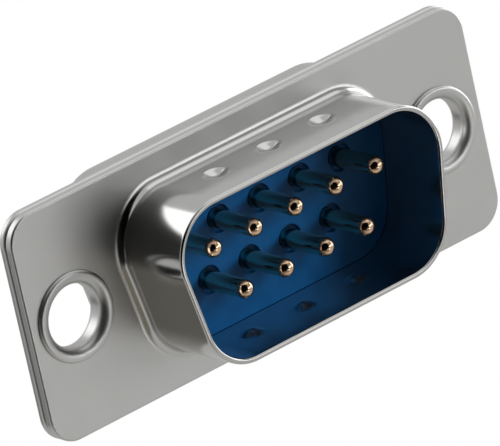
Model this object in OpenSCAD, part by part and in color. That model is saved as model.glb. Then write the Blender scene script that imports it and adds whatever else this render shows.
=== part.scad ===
// Nine-way solder-cup d-sub plug.
// Frame: X along the flange, +Z towards the five-pin side, mating side towards -Y.
// Origin: centre of the flange's front face. Each module is drawn with its own +Z
// towards the mating side, and mating() turns it into that frame.

/* [Contacts] */
// Distance between neighbouring contacts in a row
contact_pitch = 2.77; // [2.7:0.01:2.84]
// Distance between the two rows
row_pitch = 2.84; // [2.8:0.01:3]
// Diameter of a pin
pin_d = 1.02; // [0.95:0.01:1.1]
// Reach of the pins in front of the flange
pin_reach = 3.6; // [3.2:0.1:5]
// Diameter of the shoulder that is trapped between the insulators
shoulder_d = 2.2; // [2:0.05:2.3]
// Outer diameter of the barrel and its solder cup
cup_d = 1.7; // [1.5:0.05:1.8]
// Bore of the solder cup
cup_bore_d = 1.2; // [0.9:0.05:1.25]
// Length of the solder cup behind the insulator
cup_length = 4.3; // [3.6:0.1:6]
// Depth of the cup's bore from its open end
cup_bore_depth = 3.1; // [2.6:0.1:3.4]
// Length over which the cup's outer half is cut away
scoop_length = 1.9; // [1:0.1:2.2]
// Gap all round between a contact and the insulators
contact_fit = 0.03; // [0.01:0.01:0.06]

/* [Plug shell] */
// Distance from the end contacts of the upper row to the shell's outer sides
plug_side_margin = 3.335; // [3.1:0.005:3.8]
// Distance from each row of contacts to the shell's outer long wall
plug_row_margin = 3.18; // [3:0.01:3.6]
// Outer corner radius of the plug shell
plug_corner_r = 2.9; // [2.4:0.05:3.1]
// Lean of the two side walls
side_taper = 10; // [0:0.5:12]
// How far the plug shell stands out from the flange
plug_depth = 4.8; // [4.5:0.1:6.2]
// Thickness of the drawn plug wall
plug_wall_t = 0.3; // [0.28:0.01:0.5]
// Outer radius of the bend from the flange into the plug wall
plug_bend_r = 0.5; // [0.3:0.05:0.7]
// Rounding of the plug shell's rim
rim_edge_r = 0.12; // [0.05:0.01:0.13]

/* [Grounding dimples] */
// Dimples along each long wall of the plug shell
dimple_count = 3; // [1:1:3]
// Distance between neighbouring dimples
dimple_pitch = 3.6; // [2.4:0.1:4]
// Diameter of a dimple at the outer surface
dimple_d = 1.5; // [1:0.1:1.7]
// Depth of a dimple
dimple_h = 0.25; // [0.15:0.01:0.35]
// Height of the dimples above the flange's front face
dimple_from_flange = 2.1; // [1.8:0.1:3]

/* [Rear shell] */
// How far the rear body reaches past the plug shell all round
rear_margin = 0.76; // [0.7:0.01:0.85]
// Outer corner radius of the rear body
rear_corner_r = 2.7; // [2.4:0.05:3.3]
// Depth of the rear body behind the flange's rear face
rear_depth = 3.3; // [2.8:0.1:4.5]
// Outer radius of the bend from the flange into the rear body
rear_bend_r = 0.35; // [0.2:0.05:0.4]
// Outer radius of the drawn edge round the rear window
rear_edge_r = 0.9; // [0.75:0.05:1.1]
// Distance from the body's side to the edge of the rear window
rear_lip_w = 1.25; // [1.2:0.01:1.5]

/* [Flange] */
// Distance from the flange's ends to the centres of the mounting holes
hole_from_end = 2.91; // [2.6:0.01:4]
// How far the flange reaches past the rear body's long walls
flange_margin = 0.915; // [0.75:0.005:2]
// Radius of the flange's four corners
flange_corner_r = 1.6; // [0.8:0.1:2.4]
// Sheet thickness of the front shell's flange
front_sheet_t = 0.5; // [0.4:0.05:0.7]
// Sheet thickness of the rear shell
rear_sheet_t = 0.5; // [0.4:0.05:0.7]
// Rounding that blanking and barrel plating leave on the flange's edges
blank_edge_r = 0.12; // [0.05:0.01:0.18]

/* [Mounting holes] */
// Distance from the rear body's sides to the centres of the mounting holes
hole_from_body = 2.86; // [2.8:0.01:3.4]
// Bore of the eyelets, for an M3 or 4-40 screw
eyelet_bore_d = 3.3; // [3:0.05:3.4]
// Wall of the eyelet tube
eyelet_wall = 0.25; // [0.2:0.01:0.3]
// Diameter of the eyelet's two rolled heads
eyelet_head_d = 4.8; // [4.6:0.05:5]
// How far each head stands proud of its flange
eyelet_head_h = 0.22; // [0.15:0.01:0.35]
// Radius of the rolled mouth at each end of the eyelet
eyelet_mouth_r = 0.52; // [0.3:0.01:0.56]
// Rounding of each rolled head's outer edge
eyelet_edge_r = 0.18; // [0.05:0.01:0.2]
// Gap all round between the eyelet tube and the holes it passes
eyelet_fit = 0.03; // [0.01:0.01:0.08]

/* [Insulators] */
// How far the front insulator's face stands forward of the flange
face_proud = 0.35; // [0.1:0.05:1]
// Thickness of the front insulator in front of the contact shoulders
face_web_t = 1.25; // [1:0.05:1.6]
// How far the rear insulator stands out of the rear window
tail_proud = 0.6; // [0.3:0.1:1.5]
// Depth behind the front face of the flange at which the two insulators meet
split_depth = 2.2; // [2:0.05:2.4]
// Gap all round between the insulators and the shells
insulator_fit = 0.05; // [0.02:0.01:0.1]
// Diameter of the relief round each pin in the insulator's face
relief_d = 1.55; // [1.3:0.05:1.8]
// Depth of that relief
relief_h = 0.3; // [0.1:0.05:0.4]

/* [Hidden] */
$fn = 64;
// Facets of an outline's corner, and of a bend or edge in a lofted section
corner_steps = 12;
bend_steps = 5;

// Contacts in the upper row; the lower row has one fewer
upper_count = 5;
// Overlap that joins a lofted edge to the plate beside it, and overshoot of cuts
lap = 0.3;
over = 1;

tin = "gainsboro";
pbt_blue = "royalblue";
gold = "gold";

// Outer sizes: the shell grows round the contacts and the flange round the shell
plug_w = (upper_count - 1) * contact_pitch + 2 * plug_side_margin;
plug_h = row_pitch + 2 * plug_row_margin;
rear_w = plug_w + 2 * rear_margin;
rear_h = plug_h + 2 * rear_margin;
hole_spacing = rear_w + 2 * hole_from_body;
flange_w = hole_spacing + 2 * hole_from_end;
flange_h = rear_h + 2 * flange_margin;

// Heights along the mating axis: 0 is the flange's front face
flange_t = front_sheet_t + rear_sheet_t;
front_back = -front_sheet_t;
flange_back = -flange_t;
body_back = flange_back - rear_depth;
body_floor = body_back + rear_sheet_t;
tail_back = body_back - tail_proud;
web_back = face_proud - face_web_t;
split_back = -split_depth;
cup_back = tail_back - cup_length;

// Inner radii of the two shells' bends and of the rear body's drawn edge
plug_inner_bend_r = plug_bend_r + min(plug_wall_t, front_sheet_t);
rear_inner_bend_r = rear_bend_r + rear_sheet_t;
rear_inner_edge_r = rear_edge_r - rear_sheet_t;

eyelet_r = eyelet_bore_d / 2;
eyelet_tube_r = eyelet_r + eyelet_wall;
hole_r = eyelet_tube_r + eyelet_fit;

// Radius of the sphere whose cap is one dimple
dimple_r = (pow(dimple_d / 2, 2) + pow(dimple_h, 2)) / (2 * dimple_h);

// A rounded outline is four corner centres, the outward angle of each side and a
// radius. Sides run top, left, bottom, right, and each corner follows its side.
function corners(w, h, r, taper) =
    let (x = w / 2 - r, z = h / 2 - r, x_low = x - 2 * z * tan(taper))
    [[-x, z], [-x_low, -z], [x_low, -z], [x, z]];
function side_angles(taper) = [90, 180 + taper, 270, 360 - taper, 450];

plug_c = corners(plug_w, plug_h, plug_corner_r, side_taper);
rear_c = corners(rear_w, rear_h, rear_corner_r, side_taper);
flange_c = corners(flange_w, flange_h, flange_corner_r, 0);

module mating() rotate([90, 0, 0]) children();

// Points of a rounded outline, each corner an arc between its two sides
function ring(c, r, taper) = let (a = side_angles(taper))
    [for (k = [0:3]) for (j = [0:corner_steps])
        let (t = a[k] + (a[k + 1] - a[k]) * j / corner_steps) c[k] + r * [cos(t), sin(t)]];

module slab(c, r, low, high, taper = side_taper)
    translate([0, 0, low]) linear_extrude(high - low) polygon(ring(c, r, taper));

// Lofts a section round the outline. Its points are [u, v] in counter-clockwise order:
// u is the distance outside the outline and v the height along the mating axis.
module loft(c, r, section, taper = side_taper) {
    m = len(ring(c, r, taper));
    n = len(section);
    polyhedron(
        [for (p = section) for (q = ring(c, r + p[0], taper)) [q.x, q.y, p[1]]],
        [for (j = [0:n - 1]) for (i = [0:m - 1]) let (i1 = (i + 1) % m, j1 = (j + 1) % n)
            [j * m + i, j1 * m + i, j1 * m + i1, j * m + i1]]);
}

function arc(centre, r, from, to) = [for (i = [0:bend_steps])
    let (t = from + (to - from) * i / bend_steps) centre + r * [cos(t), sin(t)]];

// One flange plate between two heights, with its window and the two eyelet holes
module flange_plate(low, high, c, window_r) difference() {
    union() {
        slab(flange_c, flange_corner_r - lap, low, high, 0);
        loft(flange_c, flange_corner_r, concat(
            [[-2 * lap, high], [-2 * lap, low]],
            arc([-blank_edge_r, low + blank_edge_r], blank_edge_r, -90, 0),
            arc([-blank_edge_r, high - blank_edge_r], blank_edge_r, 0, 90)), 0);
    }
    slab(c, window_r, low - over, high + over);
    for (side = [-1, 1]) translate([side * hole_spacing / 2, 0, low - over])
        cylinder(r = hole_r, h = high - low + 2 * over);
}

// Spheres on the centres of the dimples, in both long walls
module dimple_spheres(r) for (side = [-1, 1], k = [0:dimple_count - 1])
    translate([(k - (dimple_count - 1) / 2) * dimple_pitch,
        side * (plug_h / 2 + dimple_r - dimple_h), dimple_from_flange])
        rotate([90, 0, 0]) sphere(r);

// Drawn sheet: flange, bend, plug wall and rim, with the dimples pressed in
module front_shell() {
    stub = plug_bend_r + lap;
    inner = plug_inner_bend_r;
    section = concat(
        [[stub, front_back], [stub, 0]],
        arc([plug_bend_r, plug_bend_r], plug_bend_r, 270, 180),
        arc([-rim_edge_r, plug_depth - rim_edge_r], rim_edge_r, 0, 90),
        arc([rim_edge_r - plug_wall_t, plug_depth - rim_edge_r], rim_edge_r, 90, 180),
        arc([inner - plug_wall_t, front_back + inner], inner, 180, 270));
    color(tin) mating() difference() {
        union() {
            flange_plate(front_back, 0, plug_c, plug_corner_r + plug_bend_r + lap / 2);
            loft(plug_c, plug_corner_r, section);
            intersection() {
                dimple_spheres(dimple_r + plug_wall_t);
                slab(plug_c, plug_corner_r - plug_wall_t / 2, 0, plug_depth - rim_edge_r);
            }
        }
        dimple_spheres(dimple_r);
    }
}

// Drawn sheet: flange, bend, body wall and the lip round the rear window
module rear_shell() {
    stub = rear_bend_r + lap;
    section = concat(
        [[stub, flange_back], [stub, front_back]],
        arc([rear_inner_bend_r - rear_sheet_t, front_back - rear_inner_bend_r],
            rear_inner_bend_r, 90, 180),
        arc([-rear_edge_r, body_back + rear_edge_r], rear_inner_edge_r, 0, -90),
        [[-rear_lip_w, body_floor], [-rear_lip_w, body_back]],
        arc([-rear_edge_r, body_back + rear_edge_r], rear_edge_r, -90, 0),
        arc([rear_bend_r, flange_back - rear_bend_r], rear_bend_r, 180, 90));
    color(tin) mating() {
        flange_plate(flange_back, front_back, rear_c, rear_corner_r + rear_bend_r + lap / 2);
        loft(rear_c, rear_corner_r, section);
    }
}

// Places of the contacts: the upper row first, each row from -X to +X
function contact_xy(n) = n <= upper_count
    ? [(n - (upper_count + 1) / 2) * contact_pitch, row_pitch / 2]
    : [(n - upper_count - upper_count / 2) * contact_pitch, -row_pitch / 2];

module at_contacts() for (n = [1:2 * upper_count - 1]) translate(contact_xy(n)) children();

module hole(d, low, high) translate([0, 0, low]) cylinder(d = d, h = high - low);

module front_insulator() color(pbt_blue) mating() difference() {
    union() {
        slab(plug_c, plug_corner_r - plug_wall_t - insulator_fit, front_back - lap, face_proud);
        slab(rear_c, rear_corner_r - rear_sheet_t - insulator_fit, split_back, front_back);
    }
    at_contacts() {
        hole(pin_d + 2 * contact_fit, split_back - over, face_proud + over);
        hole(relief_d, face_proud - relief_h, face_proud + over);
        hole(shoulder_d + 2 * contact_fit, split_back - over, web_back);
    }
}

module rear_insulator() color(pbt_blue) mating() {
    step = body_floor + rear_inner_edge_r;
    cavity_r = rear_corner_r - rear_sheet_t;
    difference() {
        union() {
            slab(rear_c, cavity_r - insulator_fit, step, split_back);
            slab(rear_c, cavity_r - rear_inner_edge_r, body_floor, split_back);
            slab(rear_c, rear_corner_r - rear_lip_w - insulator_fit, tail_back, split_back);
        }
        at_contacts() hole(cup_d + 2 * contact_fit, tail_back - over, split_back + over);
    }
}

// The waste outside a rounding of radius r, for a corner at the origin that points
// towards dir, such as [-1, -1]
module corner_waste(r, dir) difference() {
    span = r + over;
    translate([dir.x < 0 ? -over : -r, dir.y < 0 ? -over : -r]) square(span);
    translate(-r * dir) circle(r);
}

module bar(x0, x1, y0, y1) translate([x0, y0]) square([x1 - x0, y1 - y0]);

module eyelet(side) color(tin) mating() translate([side * hole_spacing / 2, 0, 0])
    rotate_extrude() difference() {
        head_r = eyelet_head_d / 2;
        union() {
            bar(eyelet_r, eyelet_tube_r, flange_back - eyelet_head_h, eyelet_head_h);
            for (y = [0, flange_back - eyelet_head_h])
                bar(eyelet_r, head_r, y, y + eyelet_head_h);
        }
        for (end = [[eyelet_head_h, 1], [flange_back - eyelet_head_h, -1]]) {
            translate([eyelet_r, end[0]]) corner_waste(eyelet_mouth_r, [-1, end[1]]);
            translate([head_r, end[0]]) corner_waste(eyelet_edge_r, [1, end[1]]);
        }
    }

// Turned contact: pin, trapped shoulder, barrel and scooped solder cup
module contact(n) color(gold) mating() translate(contact_xy(n)) {
    outward = n <= upper_count ? 0 : 1;
    pin_r = pin_d / 2;
    cup_r = cup_d / 2;
    rotate_extrude() {
        bar(0, pin_r, web_back, pin_reach - pin_r);
        intersection() {
            translate([0, pin_reach - pin_r]) circle(pin_r);
            bar(0, pin_r, pin_reach - pin_r, pin_reach);
        }
        bar(0, shoulder_d / 2, split_back, web_back);
    }
    mirror([0, outward, 0]) difference() {
        hole(cup_d, cup_back, split_back);
        hole(cup_bore_d, cup_back - over, cup_back + cup_bore_depth);
        translate([cup_r + over, 0, cup_back]) rotate([0, -90, 0])
            linear_extrude(cup_d + 2 * over)
                polygon([[-over, 0], [scoop_length, 0], [scoop_length + cup_r, cup_r],
                    [scoop_length + cup_r, cup_r + over], [-over, cup_r + over]]);
    }
}

front_shell();
rear_shell();
front_insulator();
rear_insulator();
eyelet(-1);  // eyelet_left
eyelet(1);  // eyelet_right
contact(1);  // contact_1
contact(2);  // contact_2
contact(3);  // contact_3
contact(4);  // contact_4
contact(5);  // contact_5
contact(6);  // contact_6
contact(7);  // contact_7
contact(8);  // contact_8
contact(9);  // contact_9
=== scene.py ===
import math

import bmesh
import bpy
from mathutils import Matrix, Vector


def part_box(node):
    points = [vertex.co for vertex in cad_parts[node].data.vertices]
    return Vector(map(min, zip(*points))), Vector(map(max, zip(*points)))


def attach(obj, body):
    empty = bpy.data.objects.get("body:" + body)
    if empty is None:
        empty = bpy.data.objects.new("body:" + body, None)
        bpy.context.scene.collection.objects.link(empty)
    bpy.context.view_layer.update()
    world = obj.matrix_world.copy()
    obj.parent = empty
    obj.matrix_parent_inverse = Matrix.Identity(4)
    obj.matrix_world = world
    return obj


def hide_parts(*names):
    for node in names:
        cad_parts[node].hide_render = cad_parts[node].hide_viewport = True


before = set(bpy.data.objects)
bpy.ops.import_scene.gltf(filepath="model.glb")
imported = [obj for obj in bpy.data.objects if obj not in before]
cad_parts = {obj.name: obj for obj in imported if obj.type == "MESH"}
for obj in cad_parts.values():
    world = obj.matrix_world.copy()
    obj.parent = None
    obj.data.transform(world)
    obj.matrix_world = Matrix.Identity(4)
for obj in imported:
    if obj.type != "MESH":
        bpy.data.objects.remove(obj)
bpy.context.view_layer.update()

# ---------------------------------------------------------------------------------------
# Front shell: flange, bend and D-shaped plug wall drawn from one sheet of steel, then
# barrel plated with bright tin. The punch burnishes the drawn wall to a mirror and leaves
# the flange satin; three grounding dimples are pressed into each long wall afterwards.

MM = 0.001
shell_low, shell_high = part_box("front_shell")
flange_width = shell_high.x - shell_low.x
flange_height = shell_high.z - shell_low.z
plug_front = shell_low.y
flange_corner = 1.6 * MM
front_sheet = shell_high.y
blank_edge = 0.12 * MM
hole_radius = 1.93 * MM

plug_width = 17.75 * MM
plug_height = 9.2 * MM
plug_corner = 2.9 * MM
plug_lean = math.radians(10)
plug_wall = 0.3 * MM
plug_bend = 0.5 * MM
plug_inner_bend = plug_bend + plug_wall
rim_edge = 0.12 * MM

dimple_count = 3
dimple_pitch = 3.6 * MM
dimple_radius = 0.75 * MM
dimple_depth = 0.25 * MM
dimple_place = -2.1 * MM
dimple_step = 0.09 * MM
same_place = 1e-7
sharp_turn = math.cos(math.radians(40))


def d_corners(width, height, radius, lean):
    """Corner centres of a D outline and the direction that each side faces, turning from the top."""
    x, z = width / 2 - radius, height / 2 - radius
    low_x = x - 2 * z * math.tan(lean)
    centres = [Vector((-x, 0, z)), Vector((-low_x, 0, -z)), Vector((low_x, 0, -z)), Vector((x, 0, z))]
    half = math.pi / 2
    facing = [half, 2 * half + lean, 3 * half, 4 * half - lean, 5 * half]
    return centres, facing


def arc(centre, radius, start, end, steps):
    """Points of a round stretch of a section, from one angle to another, in degrees."""
    turns = [math.radians(start + (end - start) * i / steps) for i in range(steps + 1)]
    return [(centre[0] + radius * math.cos(t), centre[1] + radius * math.sin(t)) for t in turns]


def line(start, end, step):
    """Points between two points of a section, about a step apart, without the ends."""
    count = max(1, round(math.dist(start, end) / step))
    return [(start[0] + (end[0] - start[0]) * i / count, start[1] + (end[1] - start[1]) * i / count)
            for i in range(1, count)]


def sweep(bm, section, outline, corner_steps=24, run_step=None):
    """Carries an open section round a D outline. Its points are (distance outside, place along Y)."""
    (centres, facing), radius = outline
    out = Vector((math.cos(facing[0]), 0, math.sin(facing[0])))
    verts = [bm.verts.new(centres[0] + out * (radius + u) + Vector((0, y, 0))) for u, y in section]
    last = verts + [bm.edges.new(pair) for pair in zip(verts, verts[1:])]
    for k in range(4):
        last = bmesh.ops.spin(bm, geom=last, cent=centres[k], axis=(0, -1, 0), dvec=(0, 0, 0),
                              angle=facing[k + 1] - facing[k], steps=corner_steps)["geom_last"]
        side = centres[(k + 1) % 4] - centres[k]
        runs = round(side.length / run_step) if run_step and k % 2 else 1
        for _ in range(runs):
            edges = [g for g in last if isinstance(g, bmesh.types.BMEdge)]
            made = bmesh.ops.extrude_edge_only(bm, edges=edges)["geom"]
            last = [g for g in made if not isinstance(g, bmesh.types.BMFace)]
            moved = [g for g in last if isinstance(g, bmesh.types.BMVert)]
            bmesh.ops.translate(bm, verts=moved, vec=side / runs)
    bmesh.ops.remove_doubles(bm, verts=bm.verts, dist=same_place)


def fill_flat(bm, y):
    """Closes the flat face that the open rings in the plane at y leave, and marks it as flat."""
    flat = bm.faces.layers.int.get("flat") or bm.faces.layers.int.new("flat")
    ring = [e for e in bm.edges
            if e.is_boundary and all(abs(v.co.y - y) < same_place for v in e.verts)]
    made = bmesh.ops.triangle_fill(bm, use_beauty=True, use_dissolve=False, edges=ring)["geom"]
    for face in made:
        if isinstance(face, bmesh.types.BMFace):
            face[flat] = 1


def drill(bm, x, z, radius, y_start, y_end, segments=64):
    """The wall of a round hole along Y, open at both ends."""
    place = Matrix.Translation((x, y_start, z)) @ Matrix.Rotation(math.pi / 2, 4, "X")
    circle = set(bmesh.ops.create_circle(bm, segments=segments, radius=radius, matrix=place)["verts"])
    edges = [e for e in bm.edges if circle.issuperset(e.verts)]
    made = bmesh.ops.extrude_edge_only(bm, edges=edges)["geom"]
    moved = [g for g in made if isinstance(g, bmesh.types.BMVert)]
    bmesh.ops.translate(bm, verts=moved, vec=(0, y_end - y_start, 0))


def corner_normals(bm):
    """Smooth normals for every corner. A flat face keeps its own, and lends it to the bend it
    runs into, so that it shines as a flat sheet does; a turn sharper than 40 degrees stays sharp."""
    flat = bm.faces.layers.int.get("flat")
    normals = []
    for face in bm.faces:
        for vert in face.verts:
            near = [f for f in vert.link_faces if f.normal.dot(face.normal) > sharp_turn]
            lender = [f for f in near if flat and f[flat]]
            normals.append(lender[0].normal.copy() if lender
                           else sum((f.normal * f.calc_area() for f in near), Vector()).normalized())
    return normals


def finish_piece(name, bm, material, node):
    """Turns a bmesh into the smooth piece that stands for this node."""
    bmesh.ops.recalc_face_normals(bm, faces=bm.faces)
    for face in bm.faces:
        face.smooth = True
    normals = corner_normals(bm)
    mesh = bpy.data.meshes.new(name)
    bm.to_mesh(mesh)
    bm.free()
    mesh.normals_split_custom_set(normals)
    piece = bpy.data.objects.new(name, mesh)
    bpy.context.scene.collection.objects.link(piece)
    piece.data.materials.append(material)
    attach(piece, "root")
    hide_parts(node)


def add_node(tree, kind, settings=None, **inputs):
    """Adds a shader node. An input is named, or numbered as i0, i1 and so on, and takes a value or
    another node's socket."""
    node = tree.nodes.new(kind)
    for key, value in (settings or {}).items():
        setattr(node, key, value)
    for key, value in inputs.items():
        numbered = key[0] == "i" and key[1:].isdigit()
        socket = node.inputs[int(key[1:]) if numbered else key.replace("_", " ")]
        if isinstance(value, bpy.types.NodeSocket):
            tree.links.new(value, socket)
        else:
            socket.default_value = value
    return node


def metal_surface_group():
    """Mottling, fine scratches and small dings of a barrel-plated metal surface."""
    tree = bpy.data.node_groups.new("plated surface", "ShaderNodeTree")
    tree.interface.new_socket("Vector", in_out="INPUT", socket_type="NodeSocketVector")
    for name in ("Mottle", "Roughness", "Spread"):
        tree.interface.new_socket(name, in_out="INPUT", socket_type="NodeSocketFloat")
    for name in ("Tone", "Roughness", "Height"):
        tree.interface.new_socket(name, in_out="OUTPUT", socket_type="NodeSocketFloat")
    given = tree.nodes.new("NodeGroupInput").outputs
    cloud = add_node(tree, "ShaderNodeTexNoise", Vector=given["Vector"], Scale=420.0, Detail=4.0)
    grain = add_node(tree, "ShaderNodeTexNoise", Vector=given["Vector"], Scale=9000.0, Detail=3.0)
    ripple = add_node(tree, "ShaderNodeTexNoise", Vector=given["Vector"], Scale=900.0, Detail=2.0)
    centred = add_node(tree, "ShaderNodeMath", {"operation": "SUBTRACT"}, i0=cloud.outputs[0], i1=0.5)
    shade = add_node(tree, "ShaderNodeMath", {"operation": "MULTIPLY_ADD"}, i0=centred.outputs[0],
                     i1=given["Mottle"], i2=1.0)
    fine = add_node(tree, "ShaderNodeMath", {"operation": "SUBTRACT"}, i0=grain.outputs[0], i1=0.5)
    both = add_node(tree, "ShaderNodeMath", {"operation": "ADD"}, i0=centred.outputs[0], i1=fine.outputs[0])
    rough = add_node(tree, "ShaderNodeMath", {"operation": "MULTIPLY_ADD"}, i0=both.outputs[0],
                     i1=given["Spread"], i2=given["Roughness"])
    height = add_node(tree, "ShaderNodeMath", {"operation": "MULTIPLY_ADD"}, i0=fine.outputs[0],
                      i1=0.15, i2=ripple.outputs[0])
    result = tree.nodes.new("NodeGroupOutput").inputs
    tree.links.new(shade.outputs[0], result["Tone"])
    tree.links.new(rough.outputs[0], result["Roughness"])
    tree.links.new(height.outputs[0], result["Height"])
    return tree


plated_surface = metal_surface_group()
tin_colour = (0.64, 0.64, 0.63, 1)
satin_roughness = 0.37
burnished_roughness = 0.16


def tin_plate(name, flat_low, flat_high):
    """Bright tin over steel: satin between the two flat planes, burnished where it is drawn past them."""
    material = bpy.data.materials.new(name)
    material.use_nodes = True
    tree = material.node_tree
    shader = tree.nodes["Principled BSDF"]
    place = add_node(tree, "ShaderNodeTexCoord").outputs["Object"]
    along = add_node(tree, "ShaderNodeSeparateXYZ", Vector=place).outputs["Y"]
    fade = 0.08 * MM
    in_front = add_node(tree, "ShaderNodeMapRange", Value=along, From_Min=flat_low,
                        From_Max=flat_low - fade)
    behind = add_node(tree, "ShaderNodeMapRange", Value=along, From_Min=flat_high,
                      From_Max=flat_high + fade)
    drawn = add_node(tree, "ShaderNodeMath", {"operation": "MAXIMUM"}, i0=in_front.outputs[0],
                     i1=behind.outputs[0])
    rough = add_node(tree, "ShaderNodeMapRange", Value=drawn.outputs[0], To_Min=satin_roughness,
                     To_Max=burnished_roughness)
    surface = add_node(tree, "ShaderNodeGroup", {"node_tree": plated_surface}, Vector=place, Mottle=0.08,
                       Roughness=rough.outputs[0], Spread=0.05)
    tint = add_node(tree, "ShaderNodeMix", {"data_type": "RGBA", "blend_type": "MULTIPLY"}, Factor=1.0,
                    A=tin_colour, B=surface.outputs["Tone"])
    relief = add_node(tree, "ShaderNodeBump", Strength=0.05, Distance=0.02 * MM,
                      Height=surface.outputs["Height"])
    shader.inputs["Metallic"].default_value = 1
    tree.links.new(tint.outputs["Result"], shader.inputs["Base Color"])
    tree.links.new(surface.outputs["Roughness"], shader.inputs["Roughness"])
    tree.links.new(relief.outputs[0], shader.inputs["Normal"])
    return material


plug_outline = (d_corners(plug_width, plug_height, plug_corner, plug_lean), plug_corner)
flange_outline = (d_corners(flange_width, flange_height, flange_corner, 0), flange_corner)
eyelet_nodes = ("eyelet_left", "eyelet_right")
hole_x = [sum(corner.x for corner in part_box(node)) / 2 for node in eyelet_nodes]


def flange_plate(bm, y_front, y_back, front_edge, back_edge):
    """The rounded edge and the two hole walls of a flange, whose flat faces are filled later."""
    edge = (arc((-back_edge, y_back - back_edge), back_edge, 90, 0, 5)
            + arc((-front_edge, y_front + front_edge), front_edge, 0, -90, 5))
    sweep(bm, edge, flange_outline, corner_steps=16)
    for x in hole_x:
        drill(bm, x, 0, hole_radius, y_front, y_back)


shell = bmesh.new()
wall_top = (0, plug_front + rim_edge)
wall_foot = (0, -plug_bend)
inner_top = (-plug_wall, plug_front + rim_edge)
inner_foot = (-plug_wall, front_sheet - plug_inner_bend)
plug_section = (
    arc((plug_bend, -plug_bend), plug_bend, 90, 180, 12)
    + line(wall_foot, wall_top, dimple_step)
    + arc((-rim_edge, plug_front + rim_edge), rim_edge, 0, -90, 5)
    + arc((rim_edge - plug_wall, plug_front + rim_edge), rim_edge, -90, -180, 5)
    + line(inner_top, inner_foot, dimple_step)
    + arc((plug_inner_bend - plug_wall, front_sheet - plug_inner_bend), plug_inner_bend, 180, 90, 12)
)
sweep(shell, plug_section, plug_outline, run_step=dimple_step)
for vert in shell.verts:
    wall = 1 if vert.co.z > 0 else -1
    for k in range(dimple_count):
        centre_x = (k - (dimple_count - 1) / 2) * dimple_pitch
        away = math.hypot(vert.co.x - centre_x, vert.co.y - dimple_place) / dimple_radius
        if away < 1 and abs(vert.co.z) > plug_height / 2 - plug_wall - same_place:
            vert.co.z -= wall * dimple_depth * (1 - away * away) ** 1.5
flange_plate(shell, 0, front_sheet, blank_edge, blank_edge)
fill_flat(shell, 0)
fill_flat(shell, front_sheet)
tin_front = tin_plate("tin plate front", 0, front_sheet)
finish_piece("front_shell_drawn", shell, tin_front, "front_shell")

# ---------------------------------------------------------------------------------------
# Rear shell: the second drawn sheet, back to back with the first. Its shallow body holds
# the insulators and is turned in at the back to a lip round the window, with a large
# rounding at that edge, and it is plated in the same barrel.

rear_low, rear_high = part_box("rear_shell")
rear_sheet = 0.5 * MM
flange_back = rear_low.y + rear_sheet
body_back = rear_high.y
rear_width = 19.27 * MM
rear_height = 10.72 * MM
rear_corner = 2.7 * MM
rear_bend = 0.35 * MM
rear_inner_bend = rear_bend + rear_sheet
rear_edge = 0.9 * MM
rear_inner_edge = rear_edge - rear_sheet
rear_lip = 1.25 * MM
lip_edge = 0.1 * MM
rolled_edge = 0.25 * MM

rear_outline = (d_corners(rear_width, rear_height, rear_corner, plug_lean), rear_corner)
rear_section = (
    arc((rear_bend, flange_back + rear_bend), rear_bend, -90, -180, 10)
    + arc((-rear_edge, body_back - rear_edge), rear_edge, 0, 90, 16)
    + arc((-rear_lip + lip_edge, body_back - lip_edge), lip_edge, 90, 180, 4)
    + arc((-rear_lip + lip_edge, body_back - rear_sheet + lip_edge), lip_edge, 180, 270, 4)
    + arc((-rear_edge, body_back - rear_edge), rear_inner_edge, 90, 0, 8)
    + arc((rear_bend, rear_low.y + rear_inner_bend), rear_inner_bend, 180, 270, 10)
)
body = bmesh.new()
sweep(body, rear_section, rear_outline)
flange_plate(body, rear_low.y, flange_back, rolled_edge, blank_edge)
fill_flat(body, rear_low.y)
fill_flat(body, flange_back)
tin_rear = tin_plate("tin plate rear", rear_low.y, flange_back)
finish_piece("rear_shell_drawn", body, tin_rear, "rear_shell")

# ---------------------------------------------------------------------------------------
# Front insulator: blue glass-filled plastic, moulded, dropped into the shells from behind.
# Its face shows inside the plug, with a shallow round relief in which each pin stands, and
# a pocket behind each pin's hole takes the contact's shoulder.

contact_pitch = 2.77 * MM
row_pitch = 2.84 * MM
upper_count = 5
contact_places = [((i - (upper_count - 1) / 2) * contact_pitch, row_pitch / 2) for i in range(upper_count)]
contact_places += [((i - (upper_count - 2) / 2) * contact_pitch, -row_pitch / 2)
                   for i in range(upper_count - 1)]
insulator_gap = 0.01 * MM
moulded_edge = 0.03 * MM
insulator_dark = (0.005, 0.12, 0.36, 1)
insulator_light = (0.007, 0.145, 0.42, 1)
relief_radius = 0.775 * MM
relief_depth = 0.3 * MM
pin_hole = 0.54 * MM
pocket_radius = 1.13 * MM
web_back = 0.9 * MM

face_low, face_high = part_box("front_insulator")


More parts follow.
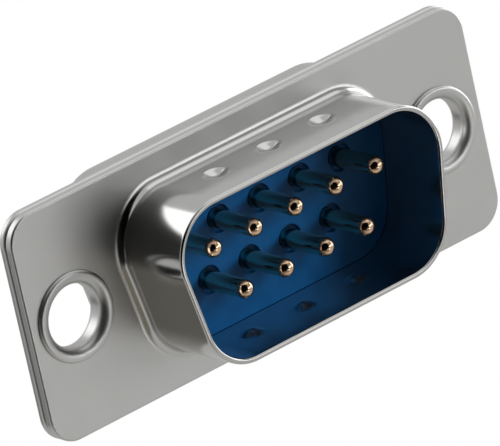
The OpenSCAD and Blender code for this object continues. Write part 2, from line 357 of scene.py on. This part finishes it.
def blue_plastic():
    """Satin moulded plastic: faint flow marks, fine grain and a slightly glossy skin."""
    material = bpy.data.materials.new("blue insulator")
    material.use_nodes = True
    tree = material.node_tree
    shader = tree.nodes["Principled BSDF"]
    place = add_node(tree, "ShaderNodeTexCoord").outputs["Object"]
    flow = add_node(tree, "ShaderNodeTexNoise", Vector=place, Scale=350.0, Detail=3.0, Distortion=1.5)
    grain = add_node(tree, "ShaderNodeTexNoise", Vector=place, Scale=12000.0, Detail=2.0)
    ramp = add_node(tree, "ShaderNodeMapRange", Value=flow.outputs[0], From_Min=0.3, From_Max=0.7)
    colour = add_node(tree, "ShaderNodeMix", {"data_type": "RGBA"}, Factor=ramp.outputs[0],
                      A=insulator_dark, B=insulator_light)
    rough = add_node(tree, "ShaderNodeMapRange", Value=grain.outputs[0], To_Min=0.36, To_Max=0.5)
    relief = add_node(tree, "ShaderNodeBump", Strength=0.12, Distance=0.01 * MM, Height=grain.outputs[0])
    shader.inputs["Specular IOR Level"].default_value = 0.2
    tree.links.new(colour.outputs["Result"], shader.inputs["Base Color"])
    tree.links.new(rough.outputs[0], shader.inputs["Roughness"])
    tree.links.new(relief.outputs[0], shader.inputs["Normal"])
    return material


def spin_profile(bm, profile, x, z, steps):
    """Turns a profile of (radius, place along Y) points round the axis through (x, z)."""
    verts = [bm.verts.new((x + radius, y, z)) for radius, y in profile]
    edges = [bm.edges.new(pair) for pair in zip(verts, verts[1:])]
    bmesh.ops.spin(bm, geom=verts + edges, cent=(x, 0, z), axis=(0, -1, 0), dvec=(0, 0, 0),
                   angle=2 * math.pi, steps=steps, use_merge=True)
    bmesh.ops.remove_doubles(bm, verts=bm.verts, dist=1e-8)


insulator_blue = blue_plastic()
face_radius = plug_corner - plug_wall - insulator_gap
base_radius = rear_corner - rear_sheet - insulator_gap
face_section = arc((-moulded_edge, face_low.y + moulded_edge), moulded_edge, -90, 0, 4) + [(0, front_sheet)]
base_section = (arc((-moulded_edge, front_sheet + moulded_edge), moulded_edge, -90, 0, 4)
                + arc((-moulded_edge, face_high.y - moulded_edge), moulded_edge, 0, 90, 4))
moulding = bmesh.new()
sweep(moulding, face_section, (plug_outline[0], face_radius))
sweep(moulding, base_section, (rear_outline[0], base_radius))
pin_passage = [(relief_radius, face_low.y), (relief_radius, face_low.y + relief_depth),
               (pin_hole, face_low.y + relief_depth), (pin_hole, web_back),
               (pocket_radius, web_back), (pocket_radius, face_high.y)]
for x, z in contact_places:
    spin_profile(moulding, pin_passage, x, z, steps=40)
for y in (face_low.y, front_sheet, face_high.y):
    fill_flat(moulding, y)
finish_piece("front_insulator_moulding", moulding, insulator_blue, "front_insulator")

# ---------------------------------------------------------------------------------------
# Rear insulator: the same plastic, pressed in behind the front one to trap the contacts.
# It stands out of the rear window, with a hole for the barrel of each contact.

barrel_hole = 0.88 * MM
tail_low, tail_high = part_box("rear_insulator")
block_radius = rear_corner - rear_edge
window_gap = rear_lip - rear_edge + insulator_gap
tail_section = (arc((-moulded_edge, tail_low.y + moulded_edge), moulded_edge, -90, 0, 4)
                + [(0, body_back - rear_sheet), (-window_gap, body_back - rear_sheet)]
                + arc((-window_gap - moulded_edge, tail_high.y - moulded_edge), moulded_edge, 0, 90, 4))
tail = bmesh.new()
sweep(tail, tail_section, (rear_outline[0], block_radius))
for x, z in contact_places:
    drill(tail, x, z, barrel_hole, tail_low.y, tail_high.y, segments=48)
for y in (tail_low.y, tail_high.y):
    fill_flat(tail, y)
finish_piece("rear_insulator_moulding", tail, insulator_blue, "rear_insulator")

# ---------------------------------------------------------------------------------------
# Eyelets: short drawn tubes pushed through both flanges and rolled over at each end, so
# that they clamp the two shells together and line the screw holes. Tin plated.

eyelet_radius = 1.65 * MM
eyelet_mouth = 0.52 * MM
eyelet_edge = 0.18 * MM
eyelet_head_radius = 2.4 * MM
eyelet_low, eyelet_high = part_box("eyelet_left")
head_height = -eyelet_low.y
tube_radius = eyelet_radius + 0.25 * MM
y_in, y_out = eyelet_low.y, eyelet_high.y
eyelet_profile = (
    arc((eyelet_radius + eyelet_mouth, y_in + eyelet_mouth), eyelet_mouth, 180, 270, 12)
    + arc((eyelet_head_radius - eyelet_edge, y_in + eyelet_edge), eyelet_edge, -90, 0, 8)
    + [(eyelet_head_radius, 0), (tube_radius, 0)]
    + [(tube_radius, y_out - head_height), (eyelet_head_radius, y_out - head_height)]
    + arc((eyelet_head_radius - eyelet_edge, y_out - eyelet_edge), eyelet_edge, 0, 90, 8)
    + arc((eyelet_radius + eyelet_mouth, y_out - eyelet_mouth), eyelet_mouth, 90, 180, 12)
)
eyelet_profile.append(eyelet_profile[0])
tin_eyelet = tin_plate("tin plate eyelet", y_in, y_out)
for node, x in zip(eyelet_nodes, hole_x):
    tube = bmesh.new()
    spin_profile(tube, eyelet_profile, x, 0, steps=96)
    finish_piece(node + "_rolled", tube, tin_eyelet, node)

# ---------------------------------------------------------------------------------------
# Contacts: turned brass pins with a gold flash. Each has a round tip, a shoulder between
# the insulators, a barrel, and a solder cup whose outer half is milled away at the end.

pin_low, pin_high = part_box("contact_1")
tip_y, cup_end = pin_low.y, pin_high.y
pin_radius = 0.51 * MM
shoulder_radius = 1.1 * MM
split_y = 2.2 * MM
barrel_radius = 0.85 * MM
cup_bore = 0.6 * MM
cup_depth = 3.1 * MM
scoop_length = 1.9 * MM
turned_steps = 40
soft_edge = 0.03 * MM
gold_colour = (0.86, 0.61, 0.42, 1)
lead_in = 0.06 * MM


def gold_flash():
    """Thin gold over turned brass: warm, polished, with faint turning rings and darker patches."""
    material = bpy.data.materials.new("gold contact")
    material.use_nodes = True
    tree = material.node_tree
    shader = tree.nodes["Principled BSDF"]
    place = add_node(tree, "ShaderNodeTexCoord").outputs["Object"]
    surface = add_node(tree, "ShaderNodeGroup", {"node_tree": plated_surface}, Vector=place, Mottle=0.25,
                       Roughness=0.13, Spread=0.08)
    along = add_node(tree, "ShaderNodeSeparateXYZ", Vector=place).outputs["Y"]
    rings = add_node(tree, "ShaderNodeTexNoise", {"noise_dimensions": "1D"}, W=along, Scale=9000.0)
    tint = add_node(tree, "ShaderNodeMix", {"data_type": "RGBA", "blend_type": "MULTIPLY"}, Factor=1.0,
                    A=gold_colour, B=surface.outputs["Tone"])
    relief = add_node(tree, "ShaderNodeBump", Strength=0.05, Distance=0.01 * MM, Height=rings.outputs[0])
    shader.inputs["Metallic"].default_value = 1
    tree.links.new(tint.outputs["Result"], shader.inputs["Base Color"])
    tree.links.new(surface.outputs["Roughness"], shader.inputs["Roughness"])
    tree.links.new(relief.outputs[0], shader.inputs["Normal"])
    return material


contact_profile = (
    arc((0, tip_y + pin_radius), pin_radius, -90, 0, 14)
    + [(pin_radius, web_back), (shoulder_radius - lead_in, web_back), (shoulder_radius, web_back + lead_in),
       (shoulder_radius, split_y - lead_in), (shoulder_radius - lead_in, split_y), (barrel_radius, split_y)]
    + arc((barrel_radius - lead_in, cup_end - lead_in), lead_in, 0, 90, 3)
    + [(cup_bore + lead_in, cup_end), (cup_bore, cup_end - lead_in), (cup_bore, cup_end - cup_depth),
       (0, cup_end - cup_depth + cup_bore / 2)]
)


def mill_cup(bm, x, z, outward):
    """Mills away the outer half of a solder cup's end, as far as a slope of 45 degrees."""
    foot = Vector((x, cup_end - scoop_length, z))
    flat, slope = Vector((0, 0, outward)), Vector((0, 1, outward)).normalized()
    for normal in (flat, slope):
        bmesh.ops.bisect_plane(bm, geom=bm.verts[:] + bm.edges[:] + bm.faces[:], dist=same_place,
                               plane_co=foot, plane_no=normal)
    milled = [f for f in bm.faces
              if all((f.calc_center_median() - foot).dot(normal) > 0 for normal in (flat, slope))]
    bmesh.ops.delete(bm, geom=milled, context="FACES")
    crease = sorted((v for v in bm.verts if v.is_boundary
                     and abs(v.co.y - foot.y) < same_place and abs(v.co.z - foot.z) < same_place),
                    key=lambda v: v.co.x)
    for pair in (crease[:2], crease[2:]):
        bm.edges.new(pair)
    for normal in (flat, slope):
        rim = [e for e in bm.edges if len(e.link_faces) < 2
               and all(abs((v.co - foot).dot(normal)) < same_place for v in e.verts)]
        bmesh.ops.triangle_fill(bm, use_beauty=True, use_dissolve=False, edges=rim)


gold = gold_flash()
for number, (x, z) in enumerate(contact_places, start=1):
    turned = bmesh.new()
    spin_profile(turned, contact_profile, x, z, steps=turned_steps)
    bmesh.ops.rotate(turned, verts=turned.verts, cent=(x, 0, z),
                     matrix=Matrix.Rotation(math.pi / turned_steps, 3, "Y"))
    mill_cup(turned, x, z, outward=math.copysign(1, z))
    bmesh.ops.recalc_face_normals(turned, faces=turned.faces)
    corners = [e for e in turned.edges if e.calc_face_angle() > math.acos(sharp_turn)]
    bmesh.ops.bevel(turned, geom=corners, offset=soft_edge, offset_type="OFFSET", affect="EDGES",
                    segments=2, profile=0.5, material=-1, clamp_overlap=True)
    name = f"contact_{number}"
    finish_piece(name + "_turned", turned, gold, name)

# ---------------------------------------------------------------------------------------
# Studio: a plain pale floor well below the part and a soft key light low on the right, with
# softboxes on the right, above and behind and dark flags on the left for the metal to reflect.

floor_drop = 0.35
floor_size = 6
floor_mesh = bpy.data.meshes.new("floor")
plane = bmesh.new()
bmesh.ops.create_grid(plane, x_segments=1, y_segments=1, size=floor_size)
bmesh.ops.translate(plane, verts=plane.verts, vec=(0, 0, -floor_drop))
plane.to_mesh(floor_mesh)
plane.free()
floor = bpy.data.objects.new("floor", floor_mesh)
bpy.context.scene.collection.objects.link(floor)


def pale_floor():
    """A white sweep that the camera sees evenly lit and the metal sees a little darker."""
    material = bpy.data.materials.new("pale floor")
    material.use_nodes = True
    tree = material.node_tree
    tree.nodes.remove(tree.nodes["Principled BSDF"])
    ray = add_node(tree, "ShaderNodeLightPath")
    seen = add_node(tree, "ShaderNodeEmission", Color=(1, 1, 1, 1), Strength=1.0)
    lit = add_node(tree, "ShaderNodeEmission", Color=(1, 0.995, 0.98, 1), Strength=0.51)
    mixed = add_node(tree, "ShaderNodeMixShader", i0=ray.outputs["Is Camera Ray"], i1=lit.outputs[0],
                     i2=seen.outputs[0])
    tree.links.new(mixed.outputs[0], tree.nodes["Material Output"].inputs["Surface"])
    return material


floor.data.materials.append(pale_floor())
floor.visible_diffuse = False


def toward(azimuth, elevation):
    """Unit vector to a place in the studio; azimuth 0 is in front, 90 on the right."""
    a, e = math.radians(azimuth), math.radians(elevation)
    return Vector((math.sin(a) * math.cos(e), -math.cos(a) * math.cos(e), math.sin(e)))


def card(name, azimuth, elevation, width, height, strength, colour=(1, 1, 1), distance=0.5):
    """A flat card facing the part, seen only in reflections; its size is given in degrees."""
    mesh = bpy.data.meshes.new(name)
    bm = bmesh.new()
    bmesh.ops.create_grid(bm, x_segments=1, y_segments=1, size=1)
    half = (distance * math.tan(math.radians(width / 2)), distance * math.tan(math.radians(height / 2)), 1)
    bmesh.ops.scale(bm, vec=half, verts=bm.verts)
    direction = toward(azimuth, elevation)
    turn = direction.to_track_quat("Z", "Y").to_matrix().to_4x4()
    bmesh.ops.transform(bm, matrix=Matrix.Translation(direction * distance) @ turn, verts=bm.verts)
    bm.to_mesh(mesh)
    bm.free()
    object_ = bpy.data.objects.new(name, mesh)
    bpy.context.scene.collection.objects.link(object_)
    material = bpy.data.materials.new(name)
    material.use_nodes = True
    tree = material.node_tree
    tree.nodes.remove(tree.nodes["Principled BSDF"])
    glow = add_node(tree, "ShaderNodeEmission", Color=(*colour, 1), Strength=strength)
    tree.links.new(glow.outputs[0], tree.nodes["Material Output"].inputs["Surface"])
    mesh.materials.append(material)
    object_.visible_camera = False
    object_.visible_shadow = False
    object_.visible_diffuse = False


card("dark flag", -38, 24, 118, 76, 0.0)
card("low dark flag", -54, -18, 72, 26, 0.0)
card("side flag", -144, -24, 24, 14, 0.0)
card("grey flag", 42, 25, 50, 26, 0.30, distance=0.52)
card("olive wall", -28, -42, 60, 28, 0.2, colour=(1, 0.9, 0.7), distance=0.47)
card("low strip", 12, -21, 12, 10, 2.5, distance=0.48)
card("overhead softbox", 95, 58, 56, 36, 1.0)
card("front strip", 33, 5, 44, 12, 2.3, distance=0.54)
card("right softbox", 96, 6, 62, 40, 2.6)
card("back softbox", -156, 33, 40, 36, 1.8)

world = bpy.data.worlds.new("studio")
bpy.context.scene.world = world
world.use_nodes = True
sky = world.node_tree
sky.nodes.remove(sky.nodes["Background"])
ray = add_node(sky, "ShaderNodeLightPath")
white = add_node(sky, "ShaderNodeBackground", Color=(1, 1, 1, 1), Strength=1.0)
grey = add_node(sky, "ShaderNodeBackground", Color=(1, 1, 1, 1), Strength=0.58)
fill = add_node(sky, "ShaderNodeBackground", Color=(1, 1, 1, 1), Strength=0.08)
indirect = add_node(sky, "ShaderNodeMixShader", i0=ray.outputs["Is Diffuse Ray"], i1=grey.outputs[0],
                    i2=fill.outputs[0])
seen = add_node(sky, "ShaderNodeMixShader", i0=ray.outputs["Is Camera Ray"], i1=indirect.outputs[0],
                i2=white.outputs[0])
sky.links.new(seen.outputs[0], sky.nodes["World Output"].inputs["Surface"])

key_place = toward(50, 14)
key = bpy.data.lights.new("key", "AREA")
key.shape = "DISK"
key.size = 0.25
key.energy = 1.9
key_object = bpy.data.objects.new("key", key)
bpy.context.scene.collection.objects.link(key_object)
key_object.location = key_place * 0.6
key_object.rotation_mode = "QUATERNION"
key_object.rotation_quaternion = key_place.to_track_quat("Z", "Y")
key_object.visible_camera = False
key_object.visible_glossy = False

bpy.context.scene.view_settings.view_transform = "Standard"

# The camera stands in front and to the left, a little above, with a long lens.
camera_data = bpy.data.cameras.new("camera")
camera = bpy.data.objects.new("camera", camera_data)
bpy.context.scene.collection.objects.link(camera)
sight = Vector((0.54878, 0.75625, -0.35626)).normalized()
right = Vector((0.74489, -0.63580, -0.20224)).normalized()
up = right.cross(sight).normalized()
camera.matrix_world = (Matrix.Translation(Vector((-251.649, -345.895, 163.176)) * MM)
                       @ Matrix((right, up, -sight)).transposed().to_4x4())
camera_data.sensor_width = 36
camera_data.lens = 645
camera_data.clip_start = 0.01
camera_data.clip_end = 20
bpy.context.scene.camera = camera
